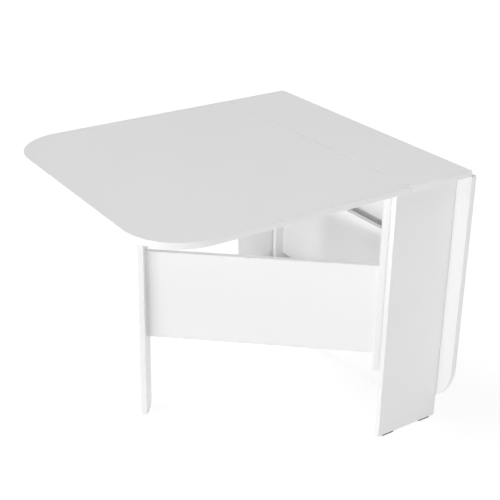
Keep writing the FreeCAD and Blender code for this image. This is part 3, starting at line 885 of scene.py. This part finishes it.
def connector_face(node):
    """The Y of an upright's face on the side away from the gate's rail."""
    low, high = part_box(node)
    rail_low, rail_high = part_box("right_gate_rail")
    return low.y if high.y < (rail_low.y + rail_high.y) / 2 else high.y


def cam_places():
    """The eight cams, on the +X faces of the fixed rails."""
    low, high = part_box("rail_cams")
    places = []
    for node in ("low_rail", "top_rail"):
        rail_low, rail_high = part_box(node)
        edge = BAND if node == "low_rail" else 0.0
        bottom, height = rail_low.z - edge, rail_high.z - rail_low.z + 2 * edge
        for end, y in ((-1, low.y + CAM_RADIUS), (1, high.y - CAM_RADIUS)):
            for share in (0.2, 0.8):
                origin = Vector((rail_high.x, y, bottom + share * height))
                places.append(axes_frame(origin, Y * end, Z * end))
    return places


def make_fasteners():
    """The screws of hinges and brackets, the gates' connectors and the rails' cams."""
    screw = wood_screw()
    hinges = {
        "left_leaf_hinge_inner": (1, 2, -1),
        "left_leaf_hinge_outer": (1, 2, -1),
        "right_leaf_hinge_inner": (1, 2, -1),
        "right_leaf_hinge_outer": (1, 0, -1),
        "left_gate_hinge_inner": (2, 1, 1),
        "right_gate_hinge_inner": (2, 1, -1),
        "right_gate_hinge_outer": (2, 1, 1),
    }
    for label, (along, face, outward) in hinges.items():
        side, part, _, half = label.split("_")
        body = "carcass" if half == "inner" else f"{side}_{part}"
        spots = hinge_screw_places(f"{label}_screws", along, face, outward)
        piece = repeated(f"{label}_screw_set", screw, spots, SCREW_ZINC)
        settle(piece, body, "zinc_screws", f"{label}_screws")
        if label == "right_gate_hinge_outer":
            name = "left_gate_hinge_outer"
            turned(f"{name}_screw_set", piece, TO_LEFT_GATE, "left_gate", "zinc_screws", f"{name}_screws")

    spots = []
    for end in ("near", "far"):
        for side in ("left", "right"):
            spots += bracket_holes(end, side)
    piece = repeated("bracket_screw_set", screw, spots, SCREW_ZINC)
    settle(piece, "carcass", "zinc_screws", "bracket_screws")

    spots = connector_places("right_gate_leg") + connector_places("right_gate_stile")
    piece = repeated("right_gate_connector_set", connector(), spots, SCREW_ZINC)
    settle(piece, "right_gate", "zinc_screws", "right_gate_connectors")
    name = "left_gate_connector"
    turned(f"{name}_set", piece, TO_LEFT_GATE, "left_gate", "zinc_screws", f"{name}s")

    piece = repeated("rail_cam_set", cam(), cam_places(), CAM_ZINC)
    settle(piece, "carcass", "cam_zinc", "rail_cams")


def make_caps():
    """Domed caps over the connectors in the legs' outer faces."""
    mesh = Mesh()
    profile = [(6.0, 0.0), (6.0, 0.2), (5.85, 0.45), (5.4, 0.7), (4.4, 0.88), (2.8, 0.97), (1.0, 0.995)]
    for place in connector_places("right_gate_leg"):
        lathe(mesh, profile, place, 40, wear=[0, 1, 1, 0.6, 0.2, 0, 0])
    piece = mesh.object("right_gate_cap_pair", [CAP_PLASTIC], sharp=50)
    settle(piece, "right_gate", "cap_plastic", "right_gate_caps")
    turned("left_gate_cap_pair", piece, TO_LEFT_GATE, "left_gate", "cap_plastic", "left_gate_caps")


def glide_mesh(name, low, high):
    """A glide with rounded plan corners, a rounded rim on the floor and two sunk nails, and the nails."""
    mesh = Mesh()
    outline = rounded(rectangle((low.x, low.y), (high.x, high.y)), (3 * MM,) * 4, 6)
    rings = []
    for distance, height, wear in (
        (1.0, 0.0, 0.8), (0.6, 0.0, 1.0), (0.3, 0.09, 1.0), (0.09, 0.3, 1.0), (0.0, 0.6, 0.4),
        (0.0, 3.6, 0.1), (0.1, 3.88, 0.3), (0.3, 4.0, 0.3),
    ):
        ring = [mesh.vertex((*point, height * MM), wear) for point in inset(outline, distance * MM)]
        rings.append(ring)
    mesh.loft(rings)
    piece = mesh.object(name, [GLIDE_PLASTIC])
    middle = (low + high) / 2
    nails = []
    for sign in (-1, 1):
        nails.append(facing(Vector((middle.x + sign * 11 * MM, middle.y, 0)), -Z))
    sink = [(1.2, -2.4), (1.2, -1.5), (2.4, -0.9), (2.6, 0.5)]
    drilled(piece, [(place, sink) for place in nails])
    pins = Mesh()
    head = [(1.1, -2.6), (1.1, -1.45), (2.1, -0.98), (2.15, -0.9), (1.9, -0.8), (0.6, -0.74)]
    for place in nails:
        lathe(pins, head, place, 24)
    return piece, pins.object(name.replace("glide", "glide_nails"), [SCREW_ZINC])


def make_glides():
    """Four glides under the end panels and one under each gate's leg."""
    for end in ("near", "far"):
        for side in ("left", "right"):
            node = f"{end}_{side}_glide"
            piece, nails = glide_mesh(f"{end}_{side}_panel_glide", *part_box(node))
            settle(piece, "carcass", "glide_plastic", node)
            settle(nails, "carcass", "zinc_screws")
    piece, nails = glide_mesh("right_leg_glide", *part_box("right_gate_glide"))
    settle(piece, "right_gate", "glide_plastic", "right_gate_glide")
    settle(nails, "right_gate", "zinc_screws")
    turned("left_leg_glide", piece, TO_LEFT_GATE, "left_gate", "glide_plastic", "left_gate_glide")
    turned("left_leg_glide_nails", nails, TO_LEFT_GATE, "left_gate", "zinc_screws")


def bracket_wall(end, low, high):
    """The Y of the panel's face behind a bracket, and which way the bracket reaches from it."""
    return (low.y, 1) if end == "near" else (high.y, -1)


def bracket_holes(end, side):
    """Where a bracket's two screws sit: on its upright leg and under its flat one."""
    low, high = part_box(f"{end}_{side}_bracket")
    wall, towards = bracket_wall(end, low, high)
    middle = (low.x + high.x) / 2
    upright = Vector((middle, wall + towards * BRACKET_SHEET, high.z - BRACKET_HOLE))
    flat = Vector((middle, wall + towards * BRACKET_HOLE, high.z - BRACKET_SHEET))
    return [facing(upright, Y * towards), facing(flat, -Z)]


def bracket_section(leg):
    """A bracket's outline as (distance from the wall, distance from the top), with a bent corner."""
    bend, steps = 1.2 * MM, 6
    centre = bend + BRACKET_SHEET
    path = [(0.0, leg)]
    for step in range(steps + 1):
        angle = math.pi / 2 * step / steps
        path.append((centre - centre * math.cos(angle), centre - centre * math.sin(angle)))
    path += [(leg, 0.0), (leg, BRACKET_SHEET)]
    for step in range(steps + 1):
        angle = math.pi / 2 * (1 - step / steps)
        path.append((centre - bend * math.cos(angle), centre - bend * math.sin(angle)))
    path.append((BRACKET_SHEET, leg))
    return path


def make_brackets():
    """Angle brackets with a bent corner and countersunk holes."""
    ease = 0.12 * MM
    hole = [(1.55, -3), (1.55, -1.05), (2.85, 0.0), (2.85, 0.5)]
    for end in ("near", "far"):
        for side in ("left", "right"):
            node = f"{end}_{side}_bracket"
            low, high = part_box(node)
            width = high.x - low.x
            path = bracket_section(high.z - low.z)
            mesh = Mesh()
            rings = []
            for x, shrink in ((0.0, ease), (ease, 0.0), (width - ease, 0.0), (width, ease)):
                ring = []
                for point, opposite in zip(path, path[::-1]):
                    inwards = (Vector(opposite) - Vector(point)).normalized() * shrink
                    y, drop = Vector(point) + inwards
                    ring.append(mesh.vertex((x, y, -drop), 0.5 if shrink else 0.2))
                rings.append(ring)
            mesh.loft(rings)
            wall, towards = bracket_wall(end, low, high)
            place = Matrix.Translation((low.x, wall, high.z)) @ Matrix.Diagonal((1, towards, 1, 1))
            piece = mesh.object(f"{end}_{side}_angle", [BRACKET_STEEL], place)
            if towards < 0:
                piece.data.flip_normals()
            drilled(piece, [(spot, hole) for spot in bracket_holes(end, side)])
            settle(piece, "carcass", "bracket_steel", node)


def finish_carried_nodes():
    """Materials for the CAD nodes that stay."""
    kept = {"rail_cam_bolts": SCREW_ZINC, "rail_dowels": DOWEL_WOOD}
    for side in ("left", "right"):
        for part, coat in (("leaf", LEAF_HINGE_COAT), ("gate", GATE_HINGE_COAT)):
            for piece in ("inner_plate", "outer_plate", "pin"):
                kept[f"{side}_{part}_hinge_{piece}"] = coat
    for name, material in kept.items():
        node = NODES[name]
        node.data.materials.clear()
        node.data.materials.append(material)


# Floor, light and camera


def make_floor():
    """A wide, pale, faintly mottled floor that blends into the white surroundings."""
    mesh = bmesh.new()
    bmesh.ops.create_grid(mesh, x_segments=24, y_segments=24, size=30.0)
    data = bpy.data.meshes.new("floor")
    mesh.to_mesh(data)
    mesh.free()
    floor = bpy.data.objects.new("floor", data)
    floor.location.z = -0.0001
    bpy.context.scene.collection.objects.link(floor)
    t = Tree("floor_finish", (1, 1, 1))
    clouds = t.fit(t.noise(0.8, 3, 0.5), 0.3, 0.7, 0.0, 1.0)
    t.finish(t.mix(clouds, (0.28, 0.28, 0.28), (0.30, 0.30, 0.30)), t.fit(clouds, 0.0, 1.0, 0.85, 0.95))
    t.shader.inputs["Emission Color"].default_value = (1, 1, 1, 1)
    seen = t.add("ShaderNodeLightPath").outputs["Is Camera Ray"]
    t.feed(t.fit(seen, 0.0, 1.0, FLOOR_GLOW, FLOOR_SEEN), t.shader.inputs["Emission Strength"])
    data.materials.append(t.material)


def make_world():
    """White all round: a dim room that lights the table, and a bright backdrop that only the camera sees."""
    world = bpy.data.worlds.new("studio")
    bpy.context.scene.world = world
    world.use_nodes = True
    nodes, links = world.node_tree.nodes, world.node_tree.links
    room = nodes["Background"]
    room.inputs["Color"].default_value = (1, 1, 1, 1)
    room.inputs["Strength"].default_value = AMBIENT
    backdrop = nodes.new("ShaderNodeBackground")
    backdrop.inputs["Strength"].default_value = 1.0
    backdrop.inputs["Color"].default_value = (1, 1, 1, 1)
    chooser = nodes.new("ShaderNodeMixShader")
    links.new(nodes.new("ShaderNodeLightPath").outputs["Is Camera Ray"], chooser.inputs["Fac"])
    links.new(room.outputs["Background"], chooser.inputs[1])
    links.new(backdrop.outputs["Background"], chooser.inputs[2])
    links.new(chooser.outputs["Shader"], nodes["World Output"].inputs["Surface"])


def soft_light(name, azimuth, elevation, strength, spread_angle):
    """A distant softbox: the azimuth is where it stands, counted from +X towards +Y, in degrees."""
    data = bpy.data.lights.new(name, "SUN")
    data.energy = strength
    data.angle = math.radians(spread_angle)
    lamp = bpy.data.objects.new(name, data)
    bpy.context.scene.collection.objects.link(lamp)
    turn, rise = math.radians(azimuth), math.radians(elevation)
    towards = Vector((math.cos(turn) * math.cos(rise), math.sin(turn) * math.cos(rise), math.sin(rise)))
    lamp.location = towards * 4
    lamp.rotation_euler = towards.to_track_quat("Z", "Y").to_euler()


def make_camera():
    """The camera of the main view, its sideways axis level with the given one."""
    data = bpy.data.cameras.new("camera")
    data.sensor_width = 36
    data.lens = 75.90
    data.shift_x, data.shift_y = 0.0815, -0.1020
    data.clip_start, data.clip_end = 0.05, 200
    camera = bpy.data.objects.new("camera", data)
    bpy.context.scene.collection.objects.link(camera)
    look, right = Vector((0.49085, 0.78050, -0.38715)).normalized(), Vector((0.84708, -0.53146, 0.00256))
    right = (right - look * right.dot(look)).normalized()
    camera.matrix_world = axes_frame(Vector((-1.4037, -2.1120, 1.6893)), right, right.cross(look))
    bpy.context.scene.camera = camera


FLOOR_GLOW = 0.77      # what the floor throws on the table
FLOOR_SEEN = 0.81      # and what is seen of it, a little more, like the backdrop
AMBIENT = 0.02
# name, azimuth, elevation, strength, angle that the softbox fills
LIGHTS = (
    ("left_window", 180, 3, 0.415, 8),
    ("middle_window", 195, 3, 0.355, 8),
    ("front_left_window", 210, 3, 0.50, 8),
    ("left_high", 150, 55, 1.64, 40),
    ("front_high", 270, 55, 0.26, 40),
    ("front_right_high", 300, 55, 0.65, 40),
    ("back", 120, 8, 0.67, 40),
    ("overhead", 0, 90, 0.37, 60),
)

make_top()
make_leaves()
make_panels()
make_rails()
make_gates()
make_fasteners()
make_caps()
make_glides()
make_brackets()
finish_carried_nodes()
make_floor()
make_world()
for light in LIGHTS:
    soft_light(*light)
make_camera()
bpy.context.scene.view_settings.view_transform = "Standard"
